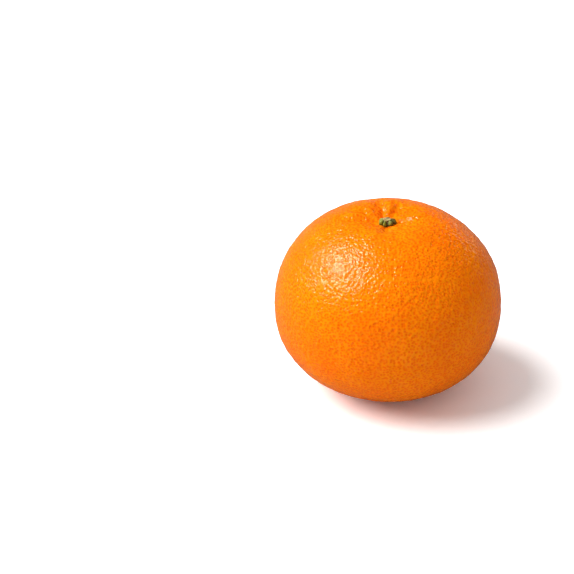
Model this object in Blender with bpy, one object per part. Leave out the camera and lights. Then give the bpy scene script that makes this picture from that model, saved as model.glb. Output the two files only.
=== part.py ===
"""A whole mandarin orange: the fruit in its rind, its calyx and the cut stub of its stem.

Metres, +Z up. The fruit rests on the flat ring round its blossom end, with the origin in the middle of that
ring and the stem end on top. The driving dimensions come first, and everything else is worked out from them.
Compass angles are degrees, counted from +X towards +Y as seen from above.
"""

import math

import bmesh
import bpy

# Body of the fruit
FRUIT_WIDTH = 0.0750  # across the equator, where the fruit is widest
CROWN_RISE = 0.0334  # from the equator up to the crown, before the stem end sinks in
BASE_DROP = 0.0284  # from the equator down to the resting face
FRUIT_FULLNESS = 2.175  # exponent of the side outline: 2 is an ellipse, and more is boxier
BASE_RADIUS = 0.0090  # outer edge of the flat ring that the fruit rests on

# Blossom end: a small hollow in the middle of the resting face
STYLAR_RADIUS = 0.0032
STYLAR_DEPTH = 0.0009

# Stem end: a wide shallow bowl with a narrow pit in its middle
STEM_SHIFT_X = -0.0010  # the stem end lies a little off the middle of the fruit
STEM_SHIFT_Y = 0.0
BOWL_RADIUS = 0.0095
BOWL_DEPTH = 0.0021
PIT_RADIUS = 0.0040
PIT_DEPTH = 0.0018

# Furrows that run out from the pit between puffs of rind: compass angle, depth and reach
FURROWS = (
    (18, 0.0005, 0.0100),
    (56, 0.0009, 0.0140),
    (101, 0.0013, 0.0150),
    (140, 0.0006, 0.0110),
    (176, 0.0004, 0.0100),
    (211, 0.0010, 0.0130),
    (260, 0.0012, 0.0090),
    (302, 0.0005, 0.0080),
    (340, 0.0006, 0.0110),
)
FURROW_HALF_WIDTH = 0.0007  # at the pit; a furrow widens on its way out
FURROW_SPREAD = 0.16  # growth of the half width per distance from the stem
FURROW_START = 0.0030  # distance from the stem at which a furrow is half of its depth

# Calyx: a star of dried sepals, each a compass angle and the reach of its tip
SEPALS = (
    (2, 0.0028),
    (74, 0.0024),
    (153, 0.0027),
    (211, 0.0027),
    (256, 0.0029),
    (309, 0.0026),
)
SEPAL_HALF_ANGLE = 38
CALYX_CORE_RADIUS = 0.0019  # out to the notches between the sepals
CALYX_THICKNESS = 0.0007
CALYX_EDGE_THICKNESS = 0.0003

# Stem: a short stub, cut level
STEM_RADIUS = 0.00130
STEM_HEIGHT = 0.00060  # above its foot on the calyx
STEM_FLARE = 0.18  # share by which its foot is wider than its top

CLEARANCE = 0.0003  # between two pieces that touch

# Mesh density
SIDES = 60
LOWER_FLANK_RINGS = 10
UPPER_FLANK_RINGS = 11
CROWN_RINGS = 14
STYLAR_RINGS = 3
CALYX_RINGS = 6
STEM_RINGS = 4
CROWN_RADIUS = 0.020  # where the rings of the flank hand over to the finer ones of the crown
CROWN_CROWDING = 1.4  # how much the rings of the crown crowd towards the stem

# Worked out from the sizes above
HALF_WIDTH = FRUIT_WIDTH / 2
EQUATOR_Z = BASE_DROP


def clear_scene():
    for obj in list(bpy.data.objects):
        bpy.data.objects.remove(obj, do_unlink=True)


def compass_points():
    """Unit directions round the circle, one for each side of a ring."""
    for side in range(SIDES):
        angle = 2 * math.pi * side / SIDES
        yield math.cos(angle), math.sin(angle)


def angle_between(first, second):
    """The angle in degrees, 0 to 180, between two compass angles."""
    return abs((first - second + 180) % 360 - 180)


# Shape of the fruit


def outline_share(radius):
    """Height of the outline over the equator at a distance from the axis, as a share of the pole's."""
    share = min(radius / HALF_WIDTH, 1)
    return (1 - share**FRUIT_FULLNESS) ** (1 / FRUIT_FULLNESS)


def furrow_depth(x, y):
    """Depth of the furrows at a place measured from the stem."""
    distance = math.hypot(x, y)
    if distance == 0:
        return 0.0
    compass = math.degrees(math.atan2(y, x))
    half_width = FURROW_HALF_WIDTH + FURROW_SPREAD * distance
    start = 1 / (1 + (FURROW_START / distance) ** 4)
    total = 0.0
    for furrow_compass, depth, reach in FURROWS:
        turned = math.radians(angle_between(compass, furrow_compass))
        across = 2 * distance * math.sin(turned / 2)
        groove = math.exp(-((across / half_width) ** 2))
        fade = math.exp(-((distance / reach) ** 3))
        total += depth * groove * start * fade
    return total


def stem_end_depth(x, y):
    """How far the rind sinks in at a place measured from the stem."""
    distance = math.hypot(x, y)
    bowl = BOWL_DEPTH * math.exp(-((distance / BOWL_RADIUS) ** 2))
    pit = PIT_DEPTH * math.exp(-((distance / PIT_RADIUS) ** 2))
    return bowl + pit + furrow_depth(x, y)


def rind_z(x, y):
    """Height of the upper rind above the resting face."""
    sunk = stem_end_depth(x - STEM_SHIFT_X, y - STEM_SHIFT_Y)
    return EQUATOR_Z + CROWN_RISE * outline_share(math.hypot(x, y)) - sunk


def stylar_rings():
    """The hollow at the blossom end and the flat ring round it, from the middle outwards."""
    yield [(0.0, 0.0, STYLAR_DEPTH)]
    for step in range(1, STYLAR_RINGS + 1):
        share = step / STYLAR_RINGS
        radius = STYLAR_RADIUS * share
        z = STYLAR_DEPTH * (1 - share**2) ** 2
        yield [(radius * cx, radius * cy, z) for cx, cy in compass_points()]


def flank_rings():
    """The side of the fruit, from the edge of the resting face up to the crown."""
    power = 2 / FRUIT_FULLNESS
    lowest = math.acos((BASE_RADIUS / HALF_WIDTH) ** (1 / power))
    highest = math.acos((CROWN_RADIUS / HALF_WIDTH) ** (1 / power))
    for step in range(LOWER_FLANK_RINGS, -1, -1):
        radius = HALF_WIDTH * math.cos(lowest * step / LOWER_FLANK_RINGS) ** power
        z = EQUATOR_Z - BASE_DROP * outline_share(radius) / outline_share(BASE_RADIUS)
        yield [(radius * cx, radius * cy, z) for cx, cy in compass_points()]
    for step in range(1, UPPER_FLANK_RINGS + 1):
        radius = HALF_WIDTH * math.cos(highest * step / UPPER_FLANK_RINGS) ** power
        ring = [(radius * cx, radius * cy) for cx, cy in compass_points()]
        yield [(x, y, rind_z(x, y)) for x, y in ring]


def crown_rings():
    """The stem end, from inside the last ring of the flank to the middle of the pit."""
    for step in range(CROWN_RINGS - 1, 0, -1):
        share = (step / CROWN_RINGS) ** CROWN_CROWDING
        middle_x = STEM_SHIFT_X * (1 - share**2)
        middle_y = STEM_SHIFT_Y * (1 - share**2)
        ring = []
        for cx, cy in compass_points():
            x = middle_x + CROWN_RADIUS * share * cx
            y = middle_y + CROWN_RADIUS * share * cy
            ring.append((x, y, rind_z(x, y)))
        yield ring
    yield [(STEM_SHIFT_X, STEM_SHIFT_Y, rind_z(STEM_SHIFT_X, STEM_SHIFT_Y))]


# Shape of the calyx and the stem


def calyx_reach(compass):
    """Distance from the stem to the calyx's edge at a compass angle."""
    reach = CALYX_CORE_RADIUS
    for sepal_compass, tip in SEPALS:
        turned = angle_between(compass, sepal_compass)
        if turned < SEPAL_HALF_ANGLE:
            swell = math.cos(math.pi / 2 * turned / SEPAL_HALF_ANGLE) ** 2
            reach = max(reach, CALYX_CORE_RADIUS + (tip - CALYX_CORE_RADIUS) * swell)
    return reach


def calyx_floor_z(x, y):
    """Underside of the calyx, which follows the rind."""
    return rind_z(x, y) + CLEARANCE


def calyx_top_z(x, y):
    """Top of the calyx, which thins from the stem to its edge."""
    stem_x = x - STEM_SHIFT_X
    stem_y = y - STEM_SHIFT_Y
    reach = calyx_reach(math.degrees(math.atan2(stem_y, stem_x)))
    share = math.hypot(stem_x, stem_y) / reach
    thickness = CALYX_THICKNESS + (CALYX_EDGE_THICKNESS - CALYX_THICKNESS) * share**2
    return calyx_floor_z(x, y) + thickness


def stem_foot_z(x, y):
    """Underside of the stub, which follows the calyx."""
    return calyx_top_z(x, y) + CLEARANCE


def calyx_ring(share, height_at):
    ring = []
    for cx, cy in compass_points():
        reach = share * calyx_reach(math.degrees(math.atan2(cy, cx)))
        x = STEM_SHIFT_X + reach * cx
        y = STEM_SHIFT_Y + reach * cy
        ring.append((x, y, height_at(x, y)))
    return ring


def calyx_rings():
    """The underside from the stem outwards, then the top back to the stem."""
    yield [(STEM_SHIFT_X, STEM_SHIFT_Y, calyx_floor_z(STEM_SHIFT_X, STEM_SHIFT_Y))]
    for step in range(1, CALYX_RINGS + 1):
        yield calyx_ring(step / CALYX_RINGS, calyx_floor_z)
    for step in range(CALYX_RINGS, 0, -1):
        yield calyx_ring(step / CALYX_RINGS, calyx_top_z)
    yield [(STEM_SHIFT_X, STEM_SHIFT_Y, calyx_top_z(STEM_SHIFT_X, STEM_SHIFT_Y))]


def stem_rings():
    """The foot from the middle outwards, the side, and the level cut back to the middle."""
    foot_z = stem_foot_z(STEM_SHIFT_X, STEM_SHIFT_Y)
    cut_z = foot_z + STEM_HEIGHT
    foot_radius = STEM_RADIUS * (1 + STEM_FLARE)
    yield [(STEM_SHIFT_X, STEM_SHIFT_Y, foot_z)]
    for step in range(1, STEM_RINGS + 1):
        radius = foot_radius * step / STEM_RINGS
        ring = []
        for cx, cy in compass_points():
            x = STEM_SHIFT_X + radius * cx
            y = STEM_SHIFT_Y + radius * cy
            ring.append((x, y, stem_foot_z(x, y)))
        yield ring
    foot_ring = ring
    for step in range(1, STEM_RINGS + 1):
        share = step / STEM_RINGS
        radius = foot_radius + (STEM_RADIUS - foot_radius) * share**0.5
        yield [
            (STEM_SHIFT_X + radius * cx, STEM_SHIFT_Y + radius * cy, z + (cut_z - z) * share)
            for (cx, cy), (_, _, z) in zip(compass_points(), foot_ring)
        ]
    yield [(STEM_SHIFT_X, STEM_SHIFT_Y, cut_z)]


# Meshes and materials


def close_rings(name, rings):
    """A closed mesh skinned over rings that start and end in a single point, bottom to top."""
    model = bmesh.new()
    rows = [[model.verts.new(point) for point in ring] for ring in rings]
    for lower, upper in zip(rows, rows[1:]):
        for side in range(SIDES):
            after = (side + 1) % SIDES
            if len(lower) == 1:
                model.faces.new((lower[0], upper[after], upper[side]))
            elif len(upper) == 1:
                model.faces.new((lower[side], lower[after], upper[0]))
            else:
                model.faces.new((lower[side], lower[after], upper[after], upper[side]))
    mesh = bpy.data.meshes.new(name)
    model.to_mesh(mesh)
    model.free()
    return mesh


def principled(name, colour, roughness):
    material = bpy.data.materials.new(name)
    material.use_nodes = True
    shader = material.node_tree.nodes["Principled BSDF"]
    shader.inputs["Base Color"].default_value = (*colour, 1.0)
    shader.inputs["Roughness"].default_value = roughness
    shader.inputs["Metallic"].default_value = 0.0
    material.diffuse_color = (*colour, 1.0)
    return material


def add_piece(name, rings, material, sharp_angle):
    mesh = close_rings(name, rings)
    mesh.materials.append(material)
    mesh.shade_smooth()
    mesh.set_sharp_from_angle(angle=math.radians(sharp_angle))
    piece = bpy.data.objects.new(name, mesh)
    bpy.context.scene.collection.objects.link(piece)
    return piece


def build_fruit():
    rings = [*stylar_rings(), *flank_rings(), *crown_rings()]
    rind = principled("rind", (1.0, 0.26, 0.01), 0.42)
    return add_piece("fruit", rings, rind, 60)


def build_calyx():
    green = principled("dried_sepal", (0.16, 0.21, 0.05), 0.75)
    return add_piece("calyx", calyx_rings(), green, 50)


def build_stem_stub():
    brown = principled("cut_stem", (0.36, 0.26, 0.13), 0.9)
    return add_piece("stem_stub", stem_rings(), brown, 50)


def main():
    clear_scene()
    build_fruit()
    build_calyx()
    build_stem_stub()


main()
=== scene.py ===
import math

import bpy
import numpy as np
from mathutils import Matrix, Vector


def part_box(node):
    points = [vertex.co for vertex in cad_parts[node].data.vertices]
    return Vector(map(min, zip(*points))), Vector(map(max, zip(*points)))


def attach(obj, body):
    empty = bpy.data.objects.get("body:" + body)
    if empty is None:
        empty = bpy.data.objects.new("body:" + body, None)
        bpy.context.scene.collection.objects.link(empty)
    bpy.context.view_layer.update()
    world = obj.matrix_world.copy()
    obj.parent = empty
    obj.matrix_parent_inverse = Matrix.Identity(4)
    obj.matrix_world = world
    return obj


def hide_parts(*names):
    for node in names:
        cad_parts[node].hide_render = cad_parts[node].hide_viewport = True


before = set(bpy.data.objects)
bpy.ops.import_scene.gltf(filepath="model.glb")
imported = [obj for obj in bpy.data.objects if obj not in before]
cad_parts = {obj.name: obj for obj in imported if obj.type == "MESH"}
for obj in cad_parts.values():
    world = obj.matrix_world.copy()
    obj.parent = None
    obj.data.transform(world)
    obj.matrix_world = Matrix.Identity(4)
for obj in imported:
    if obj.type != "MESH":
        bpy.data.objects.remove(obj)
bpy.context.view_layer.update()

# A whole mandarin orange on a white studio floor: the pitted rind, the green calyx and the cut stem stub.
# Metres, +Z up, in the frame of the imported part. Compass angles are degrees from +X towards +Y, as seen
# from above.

# Body of the fruit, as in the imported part
FRUIT_LOW, FRUIT_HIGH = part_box("fruit")
HALF_WIDTH = (FRUIT_HIGH.x - FRUIT_LOW.x) / 2
CROWN_RISE = 0.0334  # from the equator up to the crown, before the stem end sinks in
BASE_DROP = 0.0284  # from the equator down to the resting face
FRUIT_FULLNESS = 2.175  # exponent of the side outline: 2 is an ellipse, and more is boxier
BASE_RADIUS = 0.0090
BASE_SOFTNESS = 0.00012  # rounds the edge of the resting face
STYLAR_RADIUS = 0.0032
STYLAR_DEPTH = 0.0009
EQUATOR_Z = BASE_DROP

# Stem end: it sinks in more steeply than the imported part's
STEM_LOW, STEM_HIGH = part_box("stem_stub")
STEM_X = (STEM_LOW.x + STEM_HIGH.x) / 2
STEM_Y = (STEM_LOW.y + STEM_HIGH.y) / 2
BOWL_RADIUS = 0.0088
BOWL_DEPTH = 0.0034
PIT_RADIUS = 0.0040
PIT_DEPTH = 0.0006

# Furrows that run out from the pit: compass angle, depth and reach
FURROWS = (
    (18, 0.0002, 0.0100),
    (56, 0.0010, 0.0150),
    (101, 0.0014, 0.0170),
    (140, 0.0006, 0.0110),
    (177, 0.0014, 0.0130),
    (222, 0.0002, 0.0070),
    (262, 0.0012, 0.0080),
    (302, 0.0005, 0.0080),
    (340, 0.0006, 0.0110),
)
FURROW_HALF_WIDTH = 0.0007
FURROW_SPREAD = 0.16
FURROW_START = 0.0030
FOLD_HEIGHT = 0.00058
FOLD_COUNT = 16  # waves, of different lengths, that make up the small folds between the furrows
FOLD_SEED = 1758
FOLD_START = 0.0035  # distance from the stem at which the folds have half of their height
FOLD_REACH = 0.0120
FOLD_WIGGLE = 0.05  # in radians, so that no fold runs out quite straight
FOLD_WIGGLE_LENGTH = 0.0011

# Puffs of rind that swell between the furrows round the calyx: compass angle, distance, radius and height
PUFFS = (
    (37, 0.0052, 0.0023, 0.00022),
    (79, 0.0056, 0.0022, 0.00025),
    (121, 0.0056, 0.0024, 0.00022),
    (158, 0.0052, 0.0022, 0.00022),
    (200, 0.0062, 0.0026, 0.00045),
    (199, 0.0098, 0.0034, 0.00035),
    (238, 0.0050, 0.0022, 0.00035),
    (285, 0.0048, 0.0021, 0.00085),
    (321, 0.0050, 0.0020, 0.00035),
    (359, 0.0054, 0.0022, 0.00022),
)

# Relief of the rind: swells and rolls are in the mesh, and dimples, waves and glands are bump
FACE_QUADS = 128  # along each edge of the six square patches that make up the fruit's mesh
SWELL_SPACING = 0.0160
SWELL_HEIGHT = 0.00060
ROLL_SPACING = 0.0024
ROLL_HEIGHT = 0.00042
DIMPLE_SPACING = 0.0014
DIMPLE_DEPTH = 0.00016
WAVE_SPACING = 0.0013
WAVE_HEIGHT = 0.00007
GLAND_SPACING = 0.00106
GLAND_DEPTH = 0.00008
CHART_INSET = 0.012  # free edge round each patch's chart, as a share of the chart's cell
PATCH_LENGTH = HALF_WIDTH * math.pi / 2 / (1 - 2 * CHART_INSET)  # of a chart's cell, laid on the rind

# Colours of the rind, linear: the net between the glands from patch to patch, its blotches, and the glands
NET_COLOURS = ((0.87, 0.180, 0.0008, 1), (0.89, 0.214, 0.0009, 1))
BLOTCH_COLOUR = (0.85, 0.150, 0.0006, 1)
BLOTCH_STRENGTH = 0.12
GLAND_COLOUR = (0.82, 0.104, 0.0003, 1)
RIND_ROUGHNESS = (0.12, 0.18)
RIND_SPECULAR = 0.07

# Small brown scar in the hollow at the blossom end
SCAR_COLOUR = (0.11, 0.035, 0.008, 1)
SCAR_RADIUS = 0.0013  # at its outer edge; it is full within SCAR_CORE_RADIUS
SCAR_CORE_RADIUS = 0.0008
SCAR_RAGGEDNESS = 0.0014

# Calyx: a star of dried sepals, each a compass angle, the reach of its tip and half the angle it fills
SEPALS = (
    (4, 0.0030, 36),
    (74, 0.0024, 42),
    (150, 0.0028, 38),
    (204, 0.0028, 30),
    (247, 0.0029, 24),
    (304, 0.0026, 44),
)
CALYX_CORE_RADIUS = 0.0017
CALYX_HEIGHT = 0.00185  # of the thickest part of a sepal over the rind
CALYX_RAGGEDNESS = 0.00006
CALYX_SIDES = 240
CALYX_RINGS = 28
CALYX_SINK = 0.00012  # how far its underside reaches into the rind, so that no gap shows
# Painted shade: the notches between the sepals, their undersides and the parts near the stem are darkened
# towards this colour
NOTCH_SHADE_COLOUR = (0.030, 0.036, 0.003, 1)
SEPAL_COLOUR = (0.21, 0.25, 0.018, 1)
FLECK_COLOUR = (0.30, 0.25, 0.07, 1)
DRIED_COLOUR = (0.13, 0.095, 0.018, 1)
DRIED_SPAN = (STEM_X - 0.0002, STEM_X + 0.0020)  # the sepals turn brown between these places along X

# Cut stem stub
STEM_SIDES = 120
STEM_RINGS = 14
STEM_TAPER = 0.16  # lost from the foot's radius up to the cut
STEM_FOOT_DEPTH = 0.0003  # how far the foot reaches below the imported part's
CUT_DISH = 0.00022
BARK_COLOUR = (0.060, 0.028, 0.006, 1)
WOOD_COLOUR = (0.43, 0.32, 0.13, 1)

# Studio: each sun's direction towards the light, strength and angle across in degrees
KEY_SUN = ((-0.70, 0.04, 0.72), 4.85, 54)
GLOSS_SUN = ((-0.68, 0.07, 0.83), 19.5, 34)
GLOSS_COLOUR = (1.0, 0.90, 0.72)
RIM_SUN = ((0.50, 0.86, 0.03), 0.22, 20)
RIM_COLOUR = (1.0, 0.84, 0.60)
WORLD_STRENGTH = (0.53, 1.0)  # as light, and as the camera sees it
FLOOR_WHITENESS = (0.68, 1.2)
GLOSSY_DIMMING = -0.50  # added to both as the rind mirrors them, because it mirrors little but the lamps
FLOOR_HALF_WIDTH = 6.0

# Camera
CAMERA_LENS = 100
CAMERA_SENSOR = 36
CAMERA_DISTANCE = 0.5298
CAMERA_ELEVATION = 29.5
CAMERA_ASIDE = -0.0333  # the fruit stands right of the middle of the frame
CAMERA_ABOVE = 0.00535  # from the fruit's middle up to the middle of the frame, along the picture


def hashed_waves(angles, seed, count, falloff):
    """A wavy, repeatable function of the angle round a ring, about -1 to 1."""
    rng = np.random.default_rng(seed)
    total = np.zeros_like(angles)
    for wave in range(1, count + 1):
        total += rng.normal() * np.cos(wave * angles + rng.uniform(0, 2 * math.pi)) / wave**falloff
    return total / math.sqrt(count)


def angle_between(first, second):
    """The angle in degrees, 0 to 180, between compass angles."""
    return np.abs((first - second + 180) % 360 - 180)


# Shape of the fruit


def outline_share(radius):
    """Height of the outline over the equator at a distance from the axis, as a share of the pole's."""
    share = np.clip(radius / HALF_WIDTH, 0, 1)
    return (1 - share**FRUIT_FULLNESS) ** (1 / FRUIT_FULLNESS)


def furrow_depth(x, y):
    """Depth of the furrows at places measured from the stem."""
    distance = np.maximum(np.hypot(x, y), 1e-7)
    compass = np.degrees(np.arctan2(y, x))
    half_width = FURROW_HALF_WIDTH + FURROW_SPREAD * distance
    start = 1 / (1 + (FURROW_START / distance) ** 4)
    total = np.zeros_like(distance)
    for furrow_compass, depth, reach in FURROWS:
        turned = np.radians(angle_between(compass, furrow_compass))
        across = 2 * distance * np.sin(turned / 2)
        groove = np.exp(-((across / half_width) ** 2))
        total += depth * groove * start * np.exp(-((distance / reach) ** 3))
    return total


def puff_height(x, y):
    """Height of the puffs at places measured from the stem."""
    total = np.zeros_like(x)
    for compass, distance, radius, height in PUFFS:
        centre_x = distance * math.cos(math.radians(compass))
        centre_y = distance * math.sin(math.radians(compass))
        total += height * np.exp(-((x - centre_x) ** 2 + (y - centre_y) ** 2) / radius**2)
    return total


def fold_height(x, y):
    """Height of the small folds at places measured from the stem."""
    distance = np.hypot(x, y)
    turned = np.arctan2(y, x) + FOLD_WIGGLE * np.sin(distance / FOLD_WIGGLE_LENGTH)
    growing = (distance / FOLD_START) ** 2 / (1 + (distance / FOLD_START) ** 2)
    fading = np.exp(-((distance / FOLD_REACH) ** 3))
    return FOLD_HEIGHT * hashed_waves(turned, FOLD_SEED, FOLD_COUNT, 0.1) * growing * fading


def rind_z(x, y):
    """Height of the upper rind above the resting face."""
    stem_x = x - STEM_X
    stem_y = y - STEM_Y
    distance = np.hypot(stem_x, stem_y)
    bowl = BOWL_DEPTH * np.exp(-((distance / BOWL_RADIUS) ** 3))
    pit = PIT_DEPTH * np.exp(-((distance / PIT_RADIUS) ** 2))
    raised = puff_height(stem_x, stem_y) + fold_height(stem_x, stem_y)
    sunk = bowl + pit + furrow_depth(stem_x, stem_y) - raised
    return EQUATOR_Z + CROWN_RISE * outline_share(np.hypot(x, y)) - sunk


def base_z(radius):
    """Height of the lower rind, with the resting face and the small hollow at the blossom end."""
    drop = BASE_DROP * outline_share(radius) / outline_share(np.array(BASE_RADIUS))
    flank = BASE_SOFTNESS * np.logaddexp(0, (EQUATOR_Z - drop) / BASE_SOFTNESS)
    share = np.clip(radius / STYLAR_RADIUS, 0, 1)
    return flank + STYLAR_DEPTH * (1 - share**2) ** 2


def cube_patches():
    """Directions through the grid points of six square patches that cover a sphere, patch after patch."""
    steps = np.tan(np.linspace(-1, 1, FACE_QUADS + 1) * math.pi / 4)
    across, along = np.meshgrid(steps, steps, indexing="ij")
    ahead = np.ones_like(across)
    patches = (
        (across, along, ahead),
        (along, across, -ahead),
        (ahead, across, along),
        (-ahead, along, across),
        (along, ahead, across),
        (across, -ahead, along),
    )
    directions = np.concatenate([np.stack(patch, -1).reshape(-1, 3) for patch in patches])
    return directions / np.linalg.norm(directions, axis=1, keepdims=True)


def fruit_points(directions):
    """Points of the rind's main shape, one for each direction."""
    power = 2 / FRUIT_FULLNESS
    level = np.hypot(directions[:, 0], directions[:, 1])
    radius = HALF_WIDTH * level**power
    safe_level = np.maximum(level, 1e-9)
    x = radius * directions[:, 0] / safe_level
    y = radius * directions[:, 1] / safe_level
    z = np.where(directions[:, 2] >= 0, rind_z(x, y), base_z(radius))
    return np.stack((x, y, z), 1)


def patch_quads():
    """Corner indices of one patch's quads and their places on the unit square."""
    side = FACE_QUADS + 1
    i, j = np.meshgrid(np.arange(FACE_QUADS), np.arange(FACE_QUADS), indexing="ij")
    corners = ((i, j), (i + 1, j), (i + 1, j + 1), (i, j + 1))
    quads = np.stack([a * side + b for a, b in corners], -1).reshape(-1, 4)
    places = np.stack([np.stack((a, b), -1) / FACE_QUADS for a, b in corners], 2).reshape(-1, 4, 2)
    return quads, places


def fruit_mesh():
    directions = cube_patches()
    _, first, merged = np.unique(
        np.round(directions, 6), axis=0, return_index=True, return_inverse=True
    )
    points = fruit_points(directions[first])
    quads, places = patch_quads()
    per_patch = (FACE_QUADS + 1) ** 2
    faces = np.concatenate([merged.reshape(-1)[quads + patch * per_patch] for patch in range(6)])
    mesh = bpy.data.meshes.new("rind")
    mesh.from_pydata(points.tolist(), [], faces.tolist())
    chart = mesh.uv_layers.new(name="OFBake")
    charts = []
    for patch in range(6):
        corner = np.array((patch % 3, patch // 3))
        charts.append((corner + CHART_INSET + places * (1 - 2 * CHART_INSET)) / np.array((3, 2)))
    chart.data.foreach_set("uv", np.concatenate(charts).astype(np.float32).ravel())
    mesh.update()
    return mesh


# Nodes shared by the relief of the mesh and by the rind's material


class Nodes:
    """Adds linked nodes to a shader or geometry node tree."""

    def __init__(self, tree):
        self.tree = tree

    def add(self, kind, settings=None, **sockets):
        node = self.tree.nodes.new(kind)
        for name, value in (settings or {}).items():
            setattr(node, name, value)
        for name, value in sockets.items():
            self.put(node, name.replace("_", " "), value)
        return node

    def put(self, node, name, value):
        socket = node.inputs[int(name) if name.isdigit() else name]
        if isinstance(value, bpy.types.NodeSocket):
            self.tree.links.new(value, socket)
        else:
            socket.default_value = value

    def math(self, operation, *values):
        node = self.add("ShaderNodeMath", {"operation": operation})
        for index, value in enumerate(values):
            self.put(node, str(index), value)
        return node.outputs[0]

    def ramp(self, value, low, high, to_low=0.0, to_high=1.0, kind="SMOOTHSTEP"):
        """value as it goes from low to high, turned into to_low to to_high."""
        node = self.add("ShaderNodeMapRange", {"interpolation_type": kind})
        for name, part in (("From Min", low), ("From Max", high), ("To Min", to_low), ("To Max", to_high)):
            node.inputs[name].default_value = part
        self.put(node, "Value", value)
        return node.outputs["Result"]

    def noise(self, place, spacing, detail=1.0):
        """Smooth noise, about -0.5 to 0.5, whose bumps are spacing apart."""
        node = self.add("ShaderNodeTexNoise", Vector=place, Scale=1 / spacing, Detail=detail)
        return self.math("SUBTRACT", node.outputs["Fac"], 0.5)

    def cells(self, place, spacing, feature="F1"):
        """Cells whose middles are about spacing apart."""
        node = self.add("ShaderNodeTexVoronoi", {"feature": feature}, Vector=place, Scale=1 / spacing)
        node.inputs["Randomness"].default_value = 0.9
        return node

    def mix(self, share, first, second):
        node = self.add("ShaderNodeMix", {"data_type": "RGBA", "clamp_factor": True})
        self.put(node, "0", share)
        self.put(node, "6", first)
        self.put(node, "7", second)
        return node.outputs[2]


def shifted(nodes, place, x, y, z):
    """A place far off, for a noise that doesn't line up with the others."""
    node = nodes.add("ShaderNodeVectorMath", {"operation": "ADD"})
    nodes.put(node, "0", place)
    nodes.put(node, "1", (x, y, z))
    return node.outputs["Vector"]


def gland_cells(nodes, place, flat):
    """1 in the middle of an oil gland and 0 on the net between them, fainter in some cells than in others."""
    cells = nodes.cells(place, GLAND_SPACING)
    if flat:
        cells.voronoi_dimensions = "2D"
    stray = nodes.math("MULTIPLY", nodes.noise(place, 0.0007), 0.3)
    inside = nodes.ramp(nodes.math("ADD", cells.outputs["Distance"], stray), 0.60, 0.12)
    tint = nodes.add("ShaderNodeSeparateColor", Color=cells.outputs["Color"]).outputs["Red"]
    return nodes.math("MULTIPLY", inside, nodes.ramp(tint, 0, 1, 0.55, 1.0, "LINEAR"))


def gland_share(nodes, place):
    """Glands spread evenly over each patch of the mesh; at its edges, cells cut from space take over."""
    chart = nodes.add("ShaderNodeUVMap", {"uv_map": "OFBake"}).outputs["UV"]
    parts = nodes.add("ShaderNodeSeparateXYZ", Vector=chart)
    across = nodes.math("MULTIPLY", parts.outputs["X"], 3 * PATCH_LENGTH)
    along = nodes.math("MULTIPLY", parts.outputs["Y"], 2 * PATCH_LENGTH)
    flat = nodes.add("ShaderNodeCombineXYZ", X=across, Y=along).outputs["Vector"]
    to_side = nodes.math("PINGPONG", across, PATCH_LENGTH / 2)
    to_end = nodes.math("PINGPONG", along, PATCH_LENGTH / 2)
    to_edge = nodes.math("SUBTRACT", nodes.math("MINIMUM", to_side, to_end), CHART_INSET * PATCH_LENGTH)
    inner = nodes.ramp(to_edge, 0.0002, 0.0012)
    even = nodes.math("MULTIPLY", gland_cells(nodes, flat, True), inner)
    outer = nodes.math("SUBTRACT", 1.0, inner)
    return nodes.math("MULTIPLY_ADD", gland_cells(nodes, place, False), outer, even)


def add_relief(fruit):
    """Displaces the mesh along its normals: slow swells and the rolls between them."""
    tree = bpy.data.node_groups.new("rind_relief", "GeometryNodeTree")
    tree.interface.new_socket("Geometry", in_out="INPUT", socket_type="NodeSocketGeometry")
    tree.interface.new_socket("Geometry", in_out="OUTPUT", socket_type="NodeSocketGeometry")
    nodes = Nodes(tree)
    source = nodes.add("NodeGroupInput")
    place = nodes.add("GeometryNodeInputPosition").outputs["Position"]
    normal = nodes.add("GeometryNodeInputNormal").outputs["Normal"]
    height = nodes.math("MULTIPLY", nodes.noise(place, SWELL_SPACING), SWELL_HEIGHT)
    height = nodes.math("MULTIPLY_ADD", nodes.noise(place, ROLL_SPACING), ROLL_HEIGHT, height)
    offset = nodes.add("ShaderNodeVectorMath", {"operation": "SCALE"})
    nodes.put(offset, "0", normal)
    nodes.put(offset, "Scale", height)
    moved = nodes.add("GeometryNodeSetPosition", Geometry=source.outputs["Geometry"])
    nodes.put(moved, "Offset", offset.outputs["Vector"])
    sink = nodes.add("NodeGroupOutput")
    nodes.put(sink, "Geometry", moved.outputs["Geometry"])
    modifier = fruit.modifiers.new("rind_relief", "NODES")
    modifier.node_group = tree
    bpy.context.view_layer.update()
    shaped = fruit.evaluated_get(bpy.context.evaluated_depsgraph_get())
    mesh = bpy.data.meshes.new_from_object(shaped)
    fruit.modifiers.clear()
    fruit.data = mesh
    places = np.zeros(len(mesh.vertices) * 3, np.float32)
    mesh.vertices.foreach_get("co", places)
    places = places.reshape(-1, 3)
    places[:, 2] = np.maximum(places[:, 2], 0)
    mesh.vertices.foreach_set("co", places.ravel())
    mesh.shade_smooth()
    mesh.update()


def new_material(name):
    material = bpy.data.materials.new(name)
    material.use_nodes = True
    return material, Nodes(material.node_tree), material.node_tree.nodes["Principled BSDF"]


def blossom_scar(nodes, place):
    """1 on the scar at the blossom end, with a ragged edge."""
    parts = nodes.add("ShaderNodeSeparateXYZ", Vector=place)
    level = nodes.add("ShaderNodeCombineXYZ", X=parts.outputs["X"], Y=parts.outputs["Y"])
    from_axis = nodes.add("ShaderNodeVectorMath", {"operation": "LENGTH"})
    nodes.put(from_axis, "0", level.outputs["Vector"])
    stray = nodes.noise(place, 0.0008, 2.0)
    ragged = nodes.math("MULTIPLY_ADD", stray, SCAR_RAGGEDNESS, from_axis.outputs["Value"])
    near_axis = nodes.ramp(ragged, SCAR_RADIUS, SCAR_CORE_RADIUS)
    low_down = nodes.ramp(parts.outputs["Z"], 0.0030, 0.0020)
    return nodes.math("MULTIPLY", near_axis, low_down)


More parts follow.
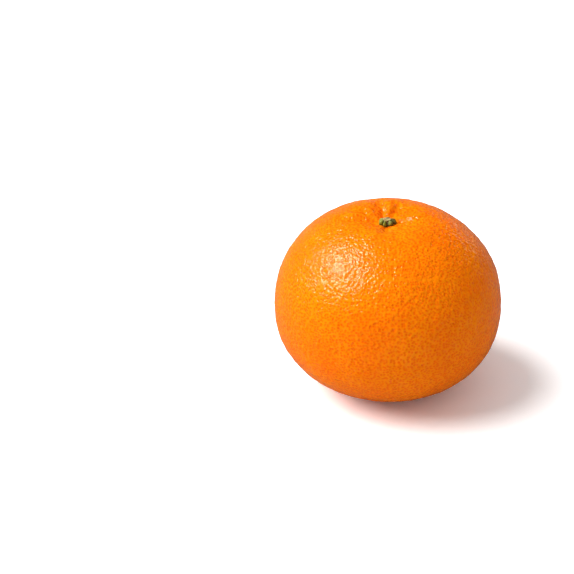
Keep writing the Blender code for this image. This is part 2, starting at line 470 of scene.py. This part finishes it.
def rind_material():
    material, nodes, shader = new_material("rind")
    place = nodes.add("ShaderNodeTexCoord").outputs["Object"]
    glands = gland_share(nodes, place)
    patches = nodes.ramp(nodes.noise(place, 0.012, 2.0), -0.16, 0.16)
    blotches = nodes.ramp(nodes.noise(shifted(nodes, place, 1, 2, 3), 0.0035, 2.0), -0.2, 0.2)
    net = nodes.mix(patches, *NET_COLOURS)
    net = nodes.mix(nodes.math("MULTIPLY", blotches, BLOTCH_STRENGTH), net, BLOTCH_COLOUR)
    colour = nodes.mix(glands, net, GLAND_COLOUR)
    colour = nodes.mix(blossom_scar(nodes, place), colour, SCAR_COLOUR)
    nodes.put(shader, "Base Color", colour)
    roughness = nodes.ramp(nodes.noise(place, 0.003, 2.0), -0.2, 0.2, *RIND_ROUGHNESS)
    nodes.put(shader, "Roughness", roughness)
    shader.inputs["Specular IOR Level"].default_value = RIND_SPECULAR
    fine = nodes.math("MULTIPLY", glands, -GLAND_DEPTH)
    hollows = nodes.cells(shifted(nodes, place, 3, 1, 2), DIMPLE_SPACING, "SMOOTH_F1")
    hollows.inputs["Smoothness"].default_value = 0.35
    dimples = nodes.ramp(hollows.outputs["Distance"], 0.0, 0.62)
    fine = nodes.math("MULTIPLY_ADD", dimples, DIMPLE_DEPTH, fine)
    fine = nodes.math("MULTIPLY_ADD", nodes.noise(place, WAVE_SPACING, 1.0), WAVE_HEIGHT, fine)
    bump = nodes.add("ShaderNodeBump", Distance=1.0, Strength=1.0, Height=fine)
    nodes.put(shader, "Normal", bump.outputs["Normal"])
    return material


def add_object(name, mesh, material, node):
    mesh.materials.clear()
    mesh.materials.append(material)
    piece = bpy.data.objects.new(name, mesh)
    bpy.context.scene.collection.objects.link(piece)
    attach(piece, "root")
    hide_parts(node)
    return piece


def build_fruit():
    fruit = add_object("fruit_with_rind", fruit_mesh(), rind_material(), "fruit")
    add_relief(fruit)
    return fruit


# Calyx and stem


def sepal_share(compass):
    """1 on a sepal's midrib and 0 in the notch beside it, and how far out the calyx reaches."""
    share = np.zeros_like(compass)
    reach = np.full_like(compass, CALYX_CORE_RADIUS)
    for sepal_compass, tip, half_angle in SEPALS:
        turned = np.clip(angle_between(compass, sepal_compass) / half_angle, 0, 1)
        swell = np.cos(math.pi / 2 * turned) ** 2
        share = np.maximum(share, swell)
        reach = np.maximum(reach, CALYX_CORE_RADIUS + (tip - CALYX_CORE_RADIUS) * swell**0.8)
    return share, reach


def ring_mesh(name, rings, tones):
    """A closed mesh over rings of points, with a colour value for each: painted shade on the calyx, bark or
    cut face on the stem; the end rings close onto their middle.
    """
    sides = len(rings[0])
    rows = np.array(rings)
    points = [rows[0].mean(0), *rows.reshape(-1, 3), rows[-1].mean(0)]
    faces = []
    for side in range(sides):
        after = (side + 1) % sides
        faces.append((0, 1 + after, 1 + side))
        for row in range(len(rings) - 1):
            low = 1 + row * sides
            high = low + sides
            faces.append((low + side, low + after, high + after, high + side))
        last = 1 + (len(rings) - 1) * sides
        faces.append((last + side, last + after, len(points) - 1))
    mesh = bpy.data.meshes.new(name)
    mesh.from_pydata([tuple(map(float, point)) for point in points], [], faces)
    shade_and_tone = mesh.attributes.new("shade_and_tone", "FLOAT", "POINT")
    shade_and_tone.data.foreach_set("value", np.concatenate(([tones[0].mean()], *tones, [tones[-1].mean()])))
    mesh.shade_smooth()
    mesh.update()
    return mesh


def calyx_mesh():
    """Underside from the stem outwards, then the top back to the stem. Its colour value is painted shade:
    darkest in the notches between the sepals, dark on the underside, darker near the stem and lightest on the
    midribs.
    """
    angles = np.linspace(0, 2 * math.pi, CALYX_SIDES, endpoint=False)
    share, reach = sepal_share(np.degrees(angles))
    reach = reach + CALYX_RAGGEDNESS * hashed_waves(angles, 5, 24, 0.3)
    rings = []
    for step in range(1, CALYX_RINGS + 1):
        rings.append(calyx_ring(angles, share, reach, step / CALYX_RINGS, False))
    # Painted shade: the underside stays dark
    tones = [0.3 * share] * CALYX_RINGS
    for step in range(CALYX_RINGS, 0, -1):
        rings.append(calyx_ring(angles, share, reach, step / CALYX_RINGS, True))
        # Painted shade: darkest in the notches and darker towards the stem
        tones.append(share * min(1.0, 0.2 + step / CALYX_RINGS))
    return ring_mesh("calyx", rings, tones)


def calyx_ring(angles, share, reach, out, top):
    """Points of the calyx's top or underside, a share out of the way from the stem to its edge."""
    x = STEM_X + reach * out * np.cos(angles)
    y = STEM_Y + reach * out * np.sin(angles)
    rind = rind_z(x, y)
    curl = 0.00035 * share * out**4
    floor = rind - CALYX_SINK * (1 - out**4) + curl * 0.6
    if not top:
        return np.stack((x, y, floor), 1)
    lobe = 0.58 + 0.42 * share**0.8
    body = CALYX_HEIGHT * lobe * np.clip(1 - ((out - 0.48) / 0.54) ** 2, 0, 1) ** 0.5
    inner = 0.0006 * np.clip(1 - out / 0.55, 0, 1) ** 0.5
    rib = 0.00010 * share**6 * math.sin(math.pi * min(out, 1))
    crinkle = 0.00011 * hashed_waves(angles, 11 + int(out * 9), 30, 0.2) * math.sin(math.pi * out)
    height = np.maximum(body, inner) + rib + crinkle + curl * 0.4
    return np.stack((x, y, floor + 0.00008 + np.maximum(height, 0)), 1)


def sepal_material():
    material, nodes, shader = new_material("dried_sepal")
    place = nodes.add("ShaderNodeTexCoord").outputs["Object"]
    # Painted shade from the mesh: dark in the notches, on the underside and near the stem, light on the
    # midribs
    rib = nodes.add("ShaderNodeAttribute", {"attribute_name": "shade_and_tone"}).outputs["Fac"]
    parts = nodes.add("ShaderNodeSeparateXYZ", Vector=place)
    # Painted light and shade: the sepals are lighter on the -X side, where the key lamp stands, and darker
    # towards +X
    across = nodes.ramp(parts.outputs["X"], STEM_X - 0.0028, STEM_X + 0.0028, 0.15, -0.10)
    # Noise stains added to the painted side light and shade
    side_light_and_stain = nodes.math("MULTIPLY_ADD", nodes.noise(place, 0.0007, 2.0), 1.5, across)
    shade_and_tone = nodes.ramp(nodes.math("ADD", rib, side_light_and_stain), 0.15, 1.0)
    colour = nodes.mix(shade_and_tone, NOTCH_SHADE_COLOUR, SEPAL_COLOUR)
    flecks = nodes.ramp(nodes.noise(shifted(nodes, place, 1, 1, 1), 0.00045, 2.0), 0.02, 0.2)
    colour = nodes.mix(nodes.math("MULTIPLY", flecks, 0.6), colour, FLECK_COLOUR)
    ragged = nodes.math("ADD", parts.outputs["X"], nodes.math("MULTIPLY", side_light_and_stain, 0.0012))
    dried = nodes.ramp(ragged, *DRIED_SPAN)
    colour = nodes.mix(nodes.math("MULTIPLY", dried, 0.6), colour, DRIED_COLOUR)
    nodes.put(shader, "Base Color", colour)
    shader.inputs["Roughness"].default_value = 0.6
    shader.inputs["Specular IOR Level"].default_value = 0.2
    bump = nodes.add("ShaderNodeBump", Distance=1.0, Strength=1.0)
    nodes.put(bump, "Height", nodes.math("MULTIPLY", nodes.noise(place, 0.00025, 2.0), 0.00006))
    nodes.put(shader, "Normal", bump.outputs["Normal"])
    return material


def build_calyx():
    return add_object("sepal_star", calyx_mesh(), sepal_material(), "calyx")


def stem_mesh():
    """Foot, side and cut face of the stub, from the bottom up and then inwards."""
    angles = np.linspace(0, 2 * math.pi, STEM_SIDES, endpoint=False)
    radius = (STEM_HIGH.x - STEM_LOW.x) / 2
    foot_z = STEM_LOW.z - STEM_FOOT_DEPTH
    cut_z = STEM_HIGH.z
    ragged = hashed_waves(angles, 3, 20, 0.5)
    rings = []
    for step in range(STEM_RINGS + 1):
        up = step / STEM_RINGS
        reach = radius * (1.0 - STEM_TAPER * up**0.6 + 0.035 * ragged)
        z = foot_z + (cut_z - foot_z) * up + 0.00005 * ragged * up
        rings.append(np.stack((STEM_X + reach * np.cos(angles), STEM_Y + reach * np.sin(angles), z), 1))
    edge = rings[-1]
    for step in range(1, STEM_RINGS):
        inwards = 1 - step / STEM_RINGS
        ring = edge.copy()
        ring[:, 0] = STEM_X + (edge[:, 0] - STEM_X) * inwards
        ring[:, 1] = STEM_Y + (edge[:, 1] - STEM_Y) * inwards
        dish = CUT_DISH * (1 - inwards**2)
        ring[:, 2] = edge[:, 2] * inwards + cut_z * (1 - inwards) - dish
        ring[:, 2] += 0.00007 * hashed_waves(angles, 40 + step, 18, 0.4) * inwards
        rings.append(ring)
    tones = [np.full(STEM_SIDES, 0.0 if row <= STEM_RINGS else 1.0) for row in range(len(rings))]
    return ring_mesh("stem", rings, tones)


def stem_material():
    material, nodes, shader = new_material("cut_stem")
    place = nodes.add("ShaderNodeTexCoord").outputs["Object"]
    parts = nodes.add("ShaderNodeSeparateXYZ", Vector=place)
    # Painted light and shade: the stub is lighter on the -X side, where the key lamp stands, and darker
    # towards +X
    across = nodes.ramp(parts.outputs["X"], STEM_X - 0.0010, STEM_X + 0.0012, 0.12, -0.12)
    cut = nodes.add("ShaderNodeAttribute", {"attribute_name": "shade_and_tone"}).outputs["Fac"]
    across = nodes.math("MULTIPLY_ADD", cut, 0.12, across)
    shade_and_tone = nodes.ramp(nodes.math("ADD", nodes.noise(place, 0.0009, 2.0), across), -0.12, 0.24)
    colour = nodes.mix(shade_and_tone, BARK_COLOUR, WOOD_COLOUR)
    nodes.put(shader, "Base Color", colour)
    shader.inputs["Roughness"].default_value = 0.8
    shader.inputs["Specular IOR Level"].default_value = 0.2
    bump = nodes.add("ShaderNodeBump", Distance=1.0, Strength=1.0)
    nodes.put(bump, "Height", nodes.math("MULTIPLY", nodes.noise(place, 0.0002, 3.0), 0.00008))
    nodes.put(shader, "Normal", bump.outputs["Normal"])
    return material


def build_stem():
    return add_object("cut_stem_stub", stem_mesh(), stem_material(), "stem_stub")


# Studio


def build_floor():
    mesh = bpy.data.meshes.new("floor")
    half = FLOOR_HALF_WIDTH
    corners = ((-half, -half, 0), (half, -half, 0), (half, half, 0), (-half, half, 0))
    mesh.from_pydata(corners, [], [(0, 1, 2, 3)])
    floor = bpy.data.objects.new("floor", mesh)
    bpy.context.scene.collection.objects.link(floor)
    material, nodes, shader = new_material("white_floor")
    path = nodes.add("ShaderNodeLightPath")
    whiteness = nodes.ramp(path.outputs["Is Camera Ray"], 0, 1, *FLOOR_WHITENESS, "LINEAR")
    whiteness = nodes.math("MULTIPLY_ADD", path.outputs["Is Glossy Ray"], GLOSSY_DIMMING, whiteness)
    nodes.put(shader, "Base Color", whiteness)
    shader.inputs["Roughness"].default_value = 0.9
    shader.inputs["Specular IOR Level"].default_value = 0.0
    mesh.materials.append(material)


def add_sun(name, towards_light, strength, angle):
    sun = bpy.data.lights.new(name, "SUN")
    sun.energy = strength
    sun.angle = math.radians(angle)
    sun_object = bpy.data.objects.new(name, sun)
    sun_object.rotation_euler = Vector(towards_light).to_track_quat("Z", "Y").to_euler()
    bpy.context.scene.collection.objects.link(sun_object)
    return sun_object


def build_light():
    """A key sun for light and shade, and gloss and rim suns for the sparkle on the rind alone."""
    key = add_sun("key", *KEY_SUN)
    key.visible_glossy = False
    gloss = add_sun("gloss", *GLOSS_SUN)
    gloss.data.color = GLOSS_COLOUR
    gloss.visible_diffuse = False
    rim = add_sun("rim", *RIM_SUN)
    rim.data.color = RIM_COLOUR
    rim.visible_diffuse = False
    world = bpy.data.worlds.new("studio")
    world.use_nodes = True
    world.cycles.sampling_method = "NONE"
    bpy.context.scene.world = world
    nodes = Nodes(world.node_tree)
    background = world.node_tree.nodes["Background"]
    background.inputs["Color"].default_value = (1, 1, 1, 1)
    path = nodes.add("ShaderNodeLightPath")
    strength = nodes.ramp(path.outputs["Is Camera Ray"], 0, 1, *WORLD_STRENGTH, "LINEAR")
    dimmed = nodes.math("MULTIPLY_ADD", path.outputs["Is Glossy Ray"], GLOSSY_DIMMING, strength)
    nodes.put(background, "Strength", dimmed)


def build_camera():
    camera = bpy.data.cameras.new("camera")
    camera.lens = CAMERA_LENS
    camera.sensor_width = CAMERA_SENSOR
    camera.clip_start = 0.01
    camera.clip_end = 50
    camera_object = bpy.data.objects.new("camera", camera)
    bpy.context.scene.collection.objects.link(camera_object)
    elevation = math.radians(CAMERA_ELEVATION)
    back = Vector((0, -math.cos(elevation), math.sin(elevation)))
    up = Vector((0, math.sin(elevation), math.cos(elevation)))
    aim = Vector((CAMERA_ASIDE, 0, EQUATOR_Z)) + CAMERA_ABOVE * up
    camera_object.location = aim + back * CAMERA_DISTANCE
    camera_object.rotation_euler = (math.pi / 2 - elevation, 0, 0)
    bpy.context.scene.camera = camera_object


build_camera()
build_floor()
build_light()
build_fruit()
build_calyx()
build_stem()
bpy.context.scene.view_settings.view_transform = "Standard"
